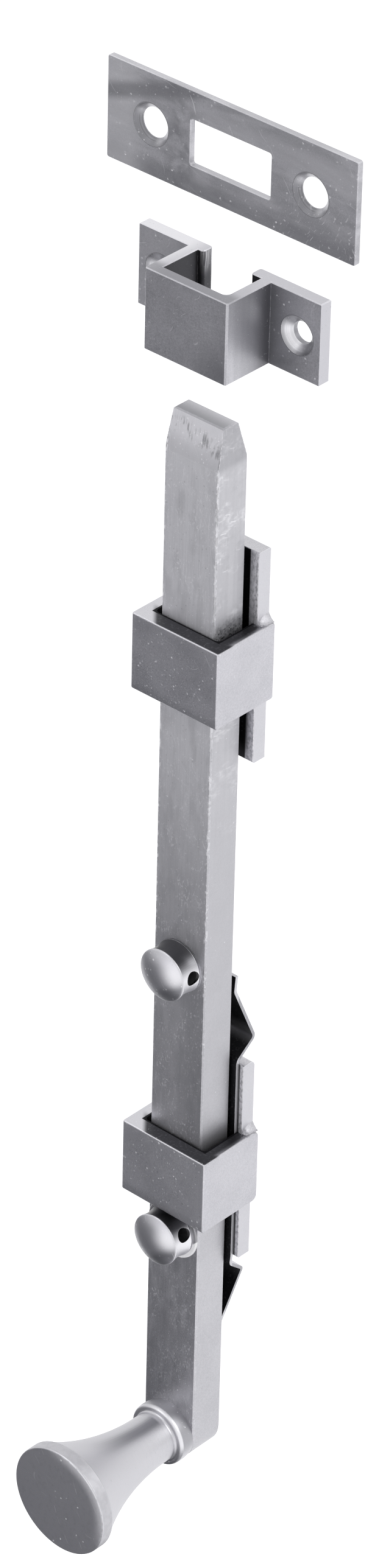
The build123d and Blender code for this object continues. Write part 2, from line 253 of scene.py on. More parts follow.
def scratch_group():
    """Long thin scratches, slightly bent, in one main direction."""
    tree, given, out = new_group(
        "Scratches",
        {"Flat": ORIGIN, "Angle": 0.0, "Length": 9.0, "Width": 0.9, "Share": 0.2, "Bend": 1.5, "Line": 0.1},
        {"Mask": "Float"},
    )
    wave = clouds(tree, given["Flat"], 0.13, 1.0)["Color"]
    centred = vectors(tree, "SUBTRACT", wave, (0.5, 0.5, 0.5))
    bend = vectors(tree, "SCALE", centred.outputs[0])
    tree.links.new(given["Bend"], bend.inputs["Scale"])
    moved = vectors(tree, "ADD", given["Flat"], bend.outputs[0])
    turn = {"Vector": moved.outputs[0], "Angle": given["Angle"]}
    turned = add(tree, "ShaderNodeVectorRotate", turn, rotation_type="Z_AXIS")
    parts = add(tree, "ShaderNodeSeparateXYZ", {0: turned.outputs[0]})
    narrow = maths(tree, "DIVIDE", parts.outputs[0], given["Width"])
    long = maths(tree, "DIVIDE", parts.outputs[1], given["Length"])
    stretched = add(tree, "ShaderNodeCombineXYZ", {0: narrow, 1: long})
    grid = {"Vector": stretched.outputs[0], "Scale": 1.0}
    cells = add(tree, "ShaderNodeTexVoronoi", grid, voronoi_dimensions="2D")
    chance = add(tree, "ShaderNodeSeparateColor", {0: cells.outputs["Color"]})
    kept = maths(tree, "LESS_THAN", chance.outputs[0], given["Share"])
    across = vectors(tree, "SUBTRACT", stretched.outputs[0], cells.outputs["Position"])
    apart = add(tree, "ShaderNodeSeparateXYZ", {0: across.outputs[0]})
    side = maths(tree, "ABSOLUTE", apart.outputs[0])
    thin = maths(tree, "MULTIPLY", given["Line"], maths(tree, "ADD", chance.outputs[1], 0.4))
    line = ramp(tree, maths(tree, "DIVIDE", side, thin), 1.0, 0.3)
    ends = ramp(tree, maths(tree, "ABSOLUTE", apart.outputs[1]), 0.42, 0.2)
    whole = maths(tree, "MULTIPLY", line, ends)
    strength = maths(tree, "ADD", maths(tree, "MULTIPLY", chance.outputs[2], 0.7), 0.3)
    tree.links.new(maths(tree, "MULTIPLY", maths(tree, "MULTIPLY", whole, kept), strength), out["Mask"])
    return tree


def edge_group():
    """Rubbed edges: where the surface turns within the radius, broken up unevenly."""
    tree, given, out = new_group(
        "Rubbed edges",
        {"Place": ORIGIN, "Radius": 0.0003, "Breaks": 0.9, "Evenness": 0.5},
        {"Mask": "Float"},
    )
    bevel = add(tree, "ShaderNodeBevel", {"Radius": given["Radius"]}, samples=6)
    surface = add(tree, "ShaderNodeNewGeometry")
    match = vectors(tree, "DOT_PRODUCT", bevel.outputs[0], surface.outputs["True Normal"])
    turn = ramp(tree, match.outputs["Value"], 0.995, 0.8)
    cloudy = clouds(tree, given["Place"], given["Breaks"], 4.0)["Fac"]
    broken = ramp(tree, cloudy, 0.42, 0.6)
    rub = maths(tree, "MAXIMUM", broken, given["Evenness"])
    tree.links.new(maths(tree, "MULTIPLY", turn, rub), out["Mask"])
    return tree


def streak_group():
    """Drawn streaks that run along one direction of the piece."""
    tree, given, out = new_group(
        "Drawn streaks",
        {"Place": ORIGIN, "Across": (2.6, 2.6, 0.07)},
        {"Broad": "Float", "Fine": "Float"},
    )
    stretched = vectors(tree, "MULTIPLY", given["Place"], given["Across"])
    for title, scale, detail in (("Broad", 0.35, 3.0), ("Fine", 1.6, 2.0)):
        cloudy = clouds(tree, stretched.outputs[0], scale, detail)["Fac"]
        tree.links.new(ramp(tree, cloudy, 0.32, 0.68), out[title])
    return tree


def turning_group():
    """Turning marks round an axis square to the door, and the distances from the axis and the door."""
    tree, given, out = new_group(
        "Turning marks",
        {"Place": ORIGIN, "Middle": 0.0, "Out X": 0.0, "Out Z": 0.0, "Marks": 5.0},
        {"Marks": "Float", "Radius": "Float", "Out": "Float"},
    )
    parts = add(tree, "ShaderNodeSeparateXYZ", {0: given["Place"]})
    aside = maths(tree, "SUBTRACT", maths(tree, "ABSOLUTE", parts.outputs[0]), given["Out X"])
    level = maths(tree, "ABSOLUTE", maths(tree, "SUBTRACT", parts.outputs[2], given["Middle"]))
    up = maths(tree, "SUBTRACT", level, given["Out Z"])
    flat = add(tree, "ShaderNodeCombineXYZ", {0: aside, 1: up})
    radius = vectors(tree, "LENGTH", flat.outputs[0]).outputs["Value"]
    ring = add(tree, "ShaderNodeCombineXYZ", {0: radius, 1: parts.outputs[1]})
    cloudy = clouds(tree, ring.outputs[0], given["Marks"], 2.0, noise_dimensions="2D")["Fac"]
    tree.links.new(ramp(tree, cloudy, 0.3, 0.7), out["Marks"])
    tree.links.new(radius, out["Radius"])
    tree.links.new(maths(tree, "MULTIPLY", parts.outputs[1], -1.0), out["Out"])
    return tree


GROUPS = {
    "place": piece_place_group(),
    "grain": grain_group(),
    "specks": speck_group(),
    "scratches": scratch_group(),
    "edges": edge_group(),
    "streaks": streak_group(),
    "turning": turning_group(),
}

GRAIN_SHARES = {"Mottle": 0.2, "Cloud": 0.25, "Fine": 0.55}
GRAIN_HEIGHT = 0.35
RELIEF_DEPTH = 0.05 / MM_PER_M


class Finish:
    """One steel finish, built up in layers of colour, roughness and height."""

    def __init__(self, name, dark, light, metallic, roughness, grain=None, contrast=1.0):
        self.material = bpy.data.materials.new(name)
        self.material.use_nodes = True
        self.tree = self.material.node_tree
        self.place = self.use("place")
        self.axes = [self.place[axis] for axis in "XYZ"]
        grain = self.use("grain", grain)
        shares = GRAIN_SHARES.items()
        mottle, cloud, fine = (maths(self.tree, "MULTIPLY", grain[title], share) for title, share in shares)
        mixed = maths(self.tree, "ADD", maths(self.tree, "ADD", mottle, cloud), fine)
        self.colour = blend(self.tree, maths(self.tree, "MULTIPLY", mixed, contrast), dark, light)
        self.roughness = blend_value(self.tree, mixed, *roughness)
        self.height = maths(self.tree, "MULTIPLY", grain["Fine"], GRAIN_HEIGHT)
        self.metallic = metallic
        facing = add(self.tree, "ShaderNodeSeparateXYZ", {0: self.place["Facing"]}).outputs
        self.facing = dict(zip("XYZ", facing))
        self.front = self.turned("Y", -0.5, -0.9)
        self.right = self.turned("X", 0.5, 0.9)
        self.top = self.turned("Z", 0.5, 0.9)

    def use(self, group, inputs=None):
        """The outputs of a group that is fed with the place on the piece."""
        node = self.tree.nodes.new("ShaderNodeGroup")
        node.node_tree = GROUPS[group]
        known = {title: self.place[title] for title in ("Place", "Flat") if title in node.inputs}
        fill(self.tree, node, {**known, **(inputs or {})})
        return node.outputs

    def both(self, *masks):
        """The masks multiplied together."""
        whole = masks[0]
        for mask in masks[1:]:
            whole = maths(self.tree, "MULTIPLY", whole, mask)
        return whole

    def single(self, mask):
        """A mask as it is, or a list of masks multiplied together."""
        return self.both(*mask) if isinstance(mask, list) else mask

    def either(self, one, other):
        return maths(self.tree, "MAXIMUM", one, other)

    def where(self, value, start, end):
        """Rises from 0 where the value is `start` to 1 where it is `end`."""
        return ramp(self.tree, value, start, end)

    def turned(self, axis, start, end):
        """Rises from 0 where the surface faces an axis by `start` to 1 where it does by `end`."""
        return self.where(self.facing[axis], start, end)

    def aside(self):
        """The distance from the middle of the bolt, left or right."""
        return maths(self.tree, "ABSOLUTE", self.place["X"])

    def patches(self, scale, low, high, stretch=None, detail=5.0):
        """Uneven patches, drawn out along the piece where a stretch is given."""
        place = self.place["Place"]
        if stretch is not None:
            place = vectors(self.tree, "MULTIPLY", place, stretch).outputs[0]
        return self.where(clouds(self.tree, place, scale, detail)["Fac"], low, high)

    def lay(self, mask, colour, strength=1.0, roughness=None, height=0.0, metallic=None):
        """Lays colour, roughness, height or metal over the finish where the mask is 1."""
        mask = self.single(mask)
        part = mask if strength == 1.0 else maths(self.tree, "MULTIPLY", mask, strength)
        self.colour = blend(self.tree, part, self.colour, colour)
        if roughness is not None:
            self.roughness = blend_value(self.tree, part, self.roughness, roughness)
        if height:
            self.height = maths(self.tree, "MULTIPLY_ADD", mask, height, self.height)
        if metallic is not None:
            self.metallic = blend_value(self.tree, part, self.metallic, metallic)

    def specks(self, colour, spacing, size, share, within=None, strength=1.0, height=0.3, metallic=None):
        """Specks in a share of the cells of a grid, with spacing and size in millimetres."""
        mask = self.use("specks", {"Spacing": spacing, "Size": size, "Share": share})["Mask"]
        mask = mask if within is None else self.both(mask, self.single(within))
        self.lay(mask, colour, strength, height=height, metallic=metallic)

    def scratches(self, colour, degrees, length, width, share, within, bend, line, strength=0.7):
        """Scratches in a share of the cells of a grid turned by some degrees."""
        given = {"Length": length, "Width": width, "Share": share, "Bend": bend, "Line": line}
        mask = self.use("scratches", {"Angle": math.radians(degrees), **given})["Mask"]
        self.lay(self.both(mask, self.single(within)), colour, strength, height=-0.5)

    def edges(self, radius, evenness, breaks=0.9, strength=0.7):
        """Rubbed edges of a radius in millimetres."""
        given = {"Radius": radius / MM_PER_M, "Breaks": breaks, "Evenness": evenness}
        self.lay(self.use("edges", given)["Mask"], BRIGHT, strength, roughness=0.45)

    def countersinks(self, middle, out_x, out_z, head, bore, towards, away):
        """Machined cones round the screw holes, with painted light and shade: one grey to the right and the
        top, one to the others, and painted shade at the cone's outer edge, in the bore and round the cone.
        """
        turning = self.use("turning", {"Middle": middle, "Out X": out_x, "Out Z": out_z, "Marks": 4.0})
        radius = turning["Radius"]
        near = self.where(radius, head + 0.25, head + 0.1)
        slope = self.both(self.turned("Y", -0.95, -0.85), self.turned("Y", -0.2, -0.5))
        cone = self.both(near, slope)
        self.lay(cone, towards, 0.9, roughness=0.32, metallic=0.75)
        turned_away = self.either(self.turned("X", 0.0, -0.45), self.turned("Z", 0.0, -0.45))
        self.lay([cone, turned_away], away, 0.85)
        self.lay([cone, turning["Marks"]], DULL, 0.3, height=0.3)
        self.lay([cone, self.where(radius, head - 0.9, head - 0.2)], SHADE, 0.6)
        in_bore = self.where(radius, bore + 0.3, bore + 0.1)
        self.lay([near, self.turned("Y", -0.4, -0.15), in_bore], SHADE, 0.8)
        self.lay([near, self.where(radius, head - 0.3, head), self.front], NEAR_BLACK, 0.45)

    def close(self, bump=0.25):
        """Feeds the layers to the shader."""
        given = {"Height": self.height, "Strength": bump, "Distance": RELIEF_DEPTH}
        relief = add(self.tree, "ShaderNodeBump", given).outputs[0]
        layers = {"Base Color": self.colour, "Roughness": self.roughness, "Metallic": self.metallic}
        fill(self.tree, self.tree.nodes["Principled BSDF"], {**layers, "Normal": relief})
        return self.material


def bar_finish():
    """Rough and streaked towards the tip, smoother and darker towards the knob."""
    steel = Finish("bar steel", (0.47, 0.468, 0.495), (0.6, 0.595, 0.625), 0.95, (0.34, 0.4))
    front, right = steel.front, steel.right
    x, y, z = steel.axes
    upper = steel.where(z, -60, 160)
    rough_part = steel.where(z, 70, 150)
    smooth_part = steel.where(z, 150, 70)
    streaks = steel.use("streaks")
    steel.lay(upper, (0.68, 0.677, 0.71), 0.65, roughness=0.52, metallic=0.4)
    # Painted shade darkens the right side, more above its lower part
    steel.lay([right, steel.where(z, -5, 45)], SHADE, 0.2)
    steel.lay(right, SHADE, 0.17)
    steel.lay([streaks["Broad"], rough_part], BRIGHT, 0.1)
    steel.lay([streaks["Fine"], front], SHADE, 0.1, height=0.3)

    # Bright drips, a dark stretch beside the upper stop and flecks down the front
    drips = steel.patches(0.55, 0.44, 0.7, stretch=(1.0, 1.0, 0.28))
    steel.lay([drips, smooth_part, front], BRIGHT, 0.2, metallic=0.9)
    by_stop = steel.both(front, steel.where(z, -5, 30), steel.where(z, 112, 78))
    steel.lay(by_stop, SHADE, 0.3)
    steel.lay([by_stop, steel.where(x, -1, 5), steel.where(z, 62, 50)], SHADE, 0.4)
    steel.lay([steel.patches(0.3, 0.46, 0.68, stretch=(1.2, 1.2, 0.4)), front], SHADE, 0.2)
    flecks = steel.patches(2.4, 0.56, 0.66, stretch=(1.0, 1.0, 0.5), detail=3.0)
    steel.lay([flecks, steel.patches(0.22, 0.42, 0.6), front], BRIGHT, 0.35, metallic=0.5)

    # Scuffs on the rough part of the right side
    scuffs = steel.patches(0.16, 0.46, 0.64, stretch=(1.0, 0.8, 1.2), detail=3.0)
    scuffed = steel.both(scuffs, right, rough_part)
    scuff_grain = steel.patches(0.8, 0.4, 0.72, stretch=(1.0, 0.7, 1.2), detail=8.0)
    steel.lay([scuffed, scuff_grain], BRIGHT, 0.5, roughness=0.5)
    for degrees, width, share, bend, line in ((-58, 1.3, 0.5, 2, 0.13), (-6, 1.0, 0.3, 1, 0.14)):
        steel.scratches(BRIGHT, degrees, 3, width, share, within=scuffed, bend=bend, line=line, strength=0.6)
    stains = steel.patches(0.5, 0.5, 0.72, stretch=(1.0, 0.6, 0.8))
    steel.lay([stains, right, rough_part], SHADE, 0.14)

    # Bevelled tip, with short sooty streaks near its end
    bevel = steel.both(front, steel.turned("Z", 0.08, 0.16))
    steel.lay(bevel, PALE, 0.7, roughness=0.5)
    # Painted shade darkens the lower part of the bevel
    steel.lay([bevel, steel.where(z, BEVEL_START + 6.5, BEVEL_START + 0.5)], SHADE, 0.4)
    below_bevel = steel.where(z, BEVEL_START - 12, BEVEL_START)
    steel.lay([front, below_bevel, steel.where(z, BEVEL_START + 0.2, BEVEL_START - 0.1)], BRIGHT, 0.2)
    steel.lay([steel.where(z, BEVEL_START - 1, BEVEL_START + 1), right], SHADE, 0.38)
    slope = maths(steel.tree, "MULTIPLY_ADD", x, 0.16, z)
    above = steel.where(slope, TIP_Z - 7.0, TIP_Z - 5.0)
    near_tip = steel.both(above, steel.where(slope, TIP_Z - 0.9, TIP_Z - 3.4), front)
    short_streaks = steel.patches(0.7, 0.44, 0.66, stretch=(2.4, 2.4, 0.25), detail=4.0)
    clusters = steel.both(short_streaks, steel.patches(0.33, 0.46, 0.6))
    steel.lay([clusters, near_tip], NEAR_BLACK, 0.5)
    steel.lay([steel.top, steel.where(y, -7.5, -12.5)], SHADE, 0.7)

    # Painted shade on the right side just above the upper guide, darker towards the back, with dark blotchy
    # marks in it
    guide_top = UPPER_GUIDE_Z + GUIDE_TOP
    above = steel.where(z, guide_top + 5, guide_top - 0.5)
    marks = steel.both(above, steel.where(z, guide_top - 12, guide_top - 4), right)
    steel.lay([marks, steel.where(y, -15.5, -8.5)], SHADE, 0.7)
    steel.lay([marks, steel.patches(1.0, 0.4, 0.62)], NEAR_BLACK, 0.55)
    steel.lay([marks, marks, steel.patches(1.8, 0.56, 0.64)], BLACK, 0.9)

    # Nicks along both edges of the front
    near_side = steel.where(steel.aside(), BAR_SIDE - 1.0, BAR_SIDE - 0.3)
    near_edge = steel.both(front, near_side, steel.where(z, 20, 60))
    small = steel.patches(2.0, 0.5, 0.58, stretch=(1.0, 1.0, 0.5), detail=3.0)
    nicks = steel.both(small, steel.patches(0.16, 0.4, 0.55))
    steel.lay([near_edge, nicks], BRIGHT, 0.9, roughness=0.5, height=0.4, metallic=0.3)
    at_edge = steel.where(steel.aside(), BAR_SIDE - 0.6, BAR_SIDE - 0.2)
    dark_nicks = steel.both(front, at_edge, steel.patches(1.1, 0.5, 0.58, stretch=(1.0, 1.0, 0.4)))
    steel.lay([dark_nicks, rough_part], NEAR_BLACK, 0.5)

    steel.specks(BRIGHT, spacing=0.6, size=0.14, share=0.6, within=front, strength=0.5, metallic=0.5)
    steel.specks(BRIGHT, spacing=1.0, size=0.24, share=0.6, within=front, strength=0.8, metallic=0.3)
    steel.specks(BRIGHT, spacing=1.9, size=0.34, share=0.55, within=front, strength=0.95, metallic=0.2)
    steel.specks(BRIGHT, spacing=1.6, size=0.22, share=0.35, within=right, strength=0.6)
    steel.specks(SHADE, spacing=1.2, size=0.22, share=0.5, strength=0.4, height=-0.3)
    steel.scratches(
        BRIGHT, degrees=3, length=6, width=0.9, share=0.1,
        within=[rough_part, front], bend=0.6, line=0.09, strength=0.5,
    )
    steel.scratches(
        BRIGHT, degrees=-38, length=5, width=3.2, share=0.08, within=front, bend=4, line=0.035, strength=0.5
    )
    steel.edges(radius=0.4, breaks=1.6, evenness=0.15, strength=0.85)
    return steel.close(bump=0.3)


def guide_finish(name, middle, painted_front_light):
    """Satin sleeve with fine light specks, short curved scratches and rubbed edges."""
    steel = Finish(name, (0.46, 0.458, 0.49), LIGHT, 0.97, (0.34, 0.42))
    front, top = steel.front, steel.top
    x, y, z = steel.axes
    # Painted highlights along the left and top edges of the front, and painted shade towards its bottom
    left_rim_highlight = steel.where(x, -11.0, -12.6)
    top_rim_highlight = steel.where(z, middle + 8.2, middle + 9.7)
    lower_rim_shade = steel.where(z, middle - 6.5, middle - 9.5)
    # Painted light on the front, more on the lower sleeve than on the upper
    steel.lay(front, BRIGHT, painted_front_light)
    steel.lay([front, left_rim_highlight], PALE, 0.35)
    steel.lay([front, top_rim_highlight], PALE, 0.4)
    steel.lay([front, lower_rim_shade], SHADE, 0.35)
    steel.lay(top, (0.7, 0.695, 0.73), 0.6, roughness=0.22)

    # Dark strip of painted shade round the bar on the top of the sleeve
    slant = maths(steel.tree, "MULTIPLY_ADD", maths(steel.tree, "ADD", y, -BAR_FRONT), 0.89, x)
    before_bar = steel.both(steel.where(slant, -10.8, -8.8), steel.where(y, -12.4, -14.9))
    beside_bar = steel.both(steel.where(x, 8.8, 9.4), steel.where(x, 13.4, 11.4))
    strip = steel.both(steel.either(before_bar, beside_bar), top)
    steel.lay(strip, NEAR_BLACK, 0.98, roughness=0.45)
    steel.lay([strip, steel.patches(1.6, 0.5, 0.75)], DULL, 0.12)
    steel.lay([steel.right, steel.where(steel.aside(), 12.2, 12.6)], SHADE, 0.06)
    braze = steel.both(steel.where(y, -6.0, -4.0), top)
    steel.lay([braze, steel.patches(1.1, 0.45, 0.6)], SHADE, 0.7, height=2.0)

    steel.specks(BRIGHT, spacing=0.6, size=0.15, share=0.7, within=front, strength=0.6, metallic=0.5)
    steel.specks(BRIGHT, spacing=1.0, size=0.24, share=0.66, within=front, strength=0.85, metallic=0.25)
    steel.specks(BRIGHT, spacing=1.8, size=0.34, share=0.5, within=front, strength=0.95, metallic=0.2)
    steel.specks(BRIGHT, spacing=1.3, size=0.2, share=0.4, strength=0.4)
    steel.specks(SHADE, spacing=0.9, size=0.18, share=0.6, within=front, strength=0.45, height=-0.3)
    steel.scratches(BRIGHT, degrees=-48, length=4.5, width=5.0, share=0.16, within=front, bend=7, line=0.02)
    steel.scratches(
        BRIGHT, degrees=62, length=5, width=5.0, share=0.12, within=front, bend=7, line=0.02, strength=0.5
    )
    steel.edges(radius=0.35, evenness=0.6, strength=0.75)
    # Painted shade: the inside of the sleeve and a thin line round its opening are black
    cavity_shade = steel.both(steel.where(steel.aside(), 10.1, 9.9), steel.where(y, -15.55, -15.4))
    steel.lay(cavity_shade, BLACK, 0.95, roughness=0.7)
    return steel.close()


def braze_finish():
    """Rough metal where the plate is joined to the sleeve."""
    steel = Finish("braze", (0.4, 0.398, 0.42), (0.58, 0.575, 0.605), 0.85, (0.45, 0.55))
    forward = steel.where(steel.place["Y"], -1.8, -3.2)
    steel.lay([forward, steel.patches(1.6, 0.4, 0.58)], SHADE, 0.75, height=-0.6)
    steel.specks(BRIGHT, spacing=0.7, size=0.14, share=0.4, strength=0.4, height=0.1)
    steel.specks(NEAR_BLACK, spacing=0.9, size=0.2, share=0.5, within=forward, strength=0.6, height=-0.2)
    return steel.close(bump=0.12)


def plate_finish(name, middle, shadow_side):
    """Backing plate, with painted shade behind the bar as far as `shadow_side`, and speckled sides."""
    steel = Finish(name, (0.5, 0.497, 0.525), (0.64, 0.635, 0.665), 0.95, (0.17, 0.24))
    front, aside = steel.front, steel.aside()
    # Countersinks with painted light where they face right or up and painted shade where they face left or
    # down
    steel.countersinks(middle, 0, GUIDE_SCREW_OUT, SCREW_HEAD, SCREW_BORE, BRIGHT, SHADE)
    # Painted shade: near black where the front lies behind the bar
    steel.lay([front, steel.where(aside, 8.5, 8.2)], NEAR_BLACK, 0.92)
    upper_part = steel.where(steel.place["Z"], middle, middle + 5)
    band = steel.both(front, steel.where(aside, 8.2, 8.5))
    steel.lay([band, upper_part], PALE, 0.8, roughness=0.5, metallic=0.35)
    steel.lay([band, steel.patches(1.6, 0.42, 0.66, stretch=(1.0, 1.0, 0.6))], SHADE, 0.75, height=0.6)
    # Painted shade darkens the band towards the bar
    steel.lay([band, steel.where(aside, 10.0, 8.3)], SHADE, 0.6)
    steel.specks(BRIGHT, spacing=0.6, size=0.16, share=0.6, within=[band, upper_part], strength=0.9)
    steel.lay([front, steel.where(aside, shadow_side + 0.3, shadow_side)], BLACK, 0.9)
    steel.specks(BRIGHT, spacing=0.8, size=0.16, share=0.5, strength=0.45)
    steel.specks(SHADE, spacing=1.2, size=0.2, share=0.5, strength=0.4, height=-0.4)
    # Painted shade darkens the right side
    steel.lay(steel.right, SHADED_SIDE, 0.6, roughness=0.45)
    steel.scratches(BRIGHT, degrees=15, length=6, width=3.5, share=0.12, within=front, bend=3, line=0.025)
    steel.edges(radius=0.3, evenness=0.6)
    return steel.close()


def spring_finish():
    """Tempered strip: near black as painted shade on the side against the bar, light along its cut edges."""
    steel = Finish("spring steel", DULL, SATIN, 0.9, (0.3, 0.4))
    y = steel.place["Y"]
    front = steel.turned("Y", -0.25, -0.6)
    # Painted shade: the side facing the bar is near black, less so at the bows
    steel.lay(front, BLACK, 0.99, roughness=0.5)
    bows = steel.where(y, -1.0, 1.4)
    steel.lay([front, bows], DULL, 0.45)
    steel.lay([front, steel.patches(1.8, 0.54, 0.74)], SHADE, 0.2)
    edge = steel.where(maths(steel.tree, "ABSOLUTE", steel.facing["X"]), 0.7, 0.95)
    streaks = steel.use("streaks", {"Across": (0.1, 3.4, 0.5)})
    steel.lay(edge, SHADE, 0.45)
    steel.lay([edge, streaks["Fine"]], SHADE, 0.5)
    steel.lay([edge, steel.where(y, PLATE_FRONT + 0.6, PLATE_FRONT)], PALE, 0.8, metallic=0.4)
    steel.specks(BRIGHT, spacing=1.2, size=0.12, share=0.2, strength=0.25)
    steel.edges(radius=0.2, evenness=0.5, strength=0.6)
    return steel.close()


def stop_finish(name, middle, rim):
    """Turned stop with faint turning marks: painted highlight and shade on the soft domed head and its rim,
    painted light and shade on the body, painted shade in the cross hole.
    """
    steel = Finish(name, (0.57, 0.567, 0.595), (0.65, 0.645, 0.675), 0.98, (0.34, 0.38))
    x, _, z = steel.axes
    up = maths(steel.tree, "SUBTRACT", z, middle)
    turning = steel.use("turning", {"Middle": middle, "Marks": 4.0})
    radius, out = turning["Radius"], turning["Out"]
    steel.lay(turning["Marks"], SHADE, 0.07, height=0.06)
    core, skin = STOP_RADIUS - 1.0, STOP_RADIUS - 0.75
    inside = steel.both(steel.where(radius, skin, core), steel.where(out, rim, rim - 0.5))
    body = steel.both(steel.where(out, rim, rim - 0.3), steel.where(radius, core, skin))
    # Painted light on the body, with painted shade, near black, on its top
    steel.lay(body, BRIGHT, 0.6)
    steel.lay([body, steel.turned("Z", 0.12, 0.6)], SHADE, 0.75)
    steel.lay([body, steel.turned("Z", 0.35, 0.8)], BLACK, 0.8)
    # Painted shade inside the cross hole
    steel.lay(inside, NEAR_BLACK, 0.9, roughness=0.6)

    # Painted highlight, right of the middle of the dome, with painted shade away from it and at its lower
    # right, and a rim painted bright on its left
    head = steel.where(out, rim, rim + 0.3)
    steel.lay(head, (0.68, 0.675, 0.71), 0.6, roughness=0.36)
    highlight = add(steel.tree, "ShaderNodeCombineXYZ", {0: 3.7, 1: 2.4})
    spot = add(steel.tree, "ShaderNodeCombineXYZ", {0: x, 1: up})
    away = vectors(steel.tree, "DISTANCE", spot.outputs[0], highlight.outputs[0]).outputs["Value"]
    steel.lay([head, steel.where(away, 1.0, 6.5)], SHADE, 0.3)
    low_right_shade = steel.where(maths(steel.tree, "MULTIPLY_ADD", up, -1.5, x), 3.0, 8.0)
    steel.lay([head, low_right_shade], SHADE, 0.9)
    steel.lay([head, steel.where(away, 4.5, 0.0)], BRIGHT, 0.9, metallic=0.5)
    rim_highlight_zone = steel.where(radius, STOP_RADIUS - 0.5, STOP_RADIUS - 0.2)
    steel.lay([head, rim_highlight_zone, steel.where(x, 3.0, -1.0)], PALE, 0.8)

    steel.specks(PALE, spacing=0.6, size=0.14, share=0.6, within=head, strength=0.5, metallic=0.6)
    steel.specks(SHADE, spacing=0.8, size=0.14, share=0.5, within=head, strength=0.35, height=-0.1)
    steel.specks(
        BRIGHT, spacing=1.2, size=0.24, share=0.55, within=head, strength=0.8, height=0.1, metallic=0.3
    )
    steel.scratches(BRIGHT, degrees=-30, length=3, width=3.0, share=0.12, within=head, bend=4, line=0.03)
    steel.edges(radius=0.25, evenness=0.6, strength=0.7)
    return steel.close(bump=0.12)


def washer_finish():
    """Bright washer, with a painted highlight where it faces down and to the right and painted shade
    elsewhere.
    """
    steel = Finish("washer steel", PALE, BRIGHT, 0.7, (0.35, 0.45))
    steel.lay(steel.use("turning", {"Middle": LOWER_STOP_Z, "Marks": 5.0})["Marks"], DULL, 0.12, height=0.2)
    x, _, z = steel.axes
    slant = maths(steel.tree, "SUBTRACT", x, z)
    first, last = 7.5 - LOWER_STOP_Z, 8.0 - LOWER_STOP_Z
    # Painted highlight on the lower right, painted shade on the rest
    steel.lay(steel.where(slant, first, last), (0.98, 0.977, 0.985), roughness=0.6, metallic=0.0)
    steel.lay(steel.where(slant, last, first), NEAR_BLACK, 0.6)
    steel.specks(BRIGHT, spacing=0.9, size=0.12, share=0.3, strength=0.5)
    steel.edges(radius=0.15, evenness=0.6, strength=0.6)
    return steel.close()


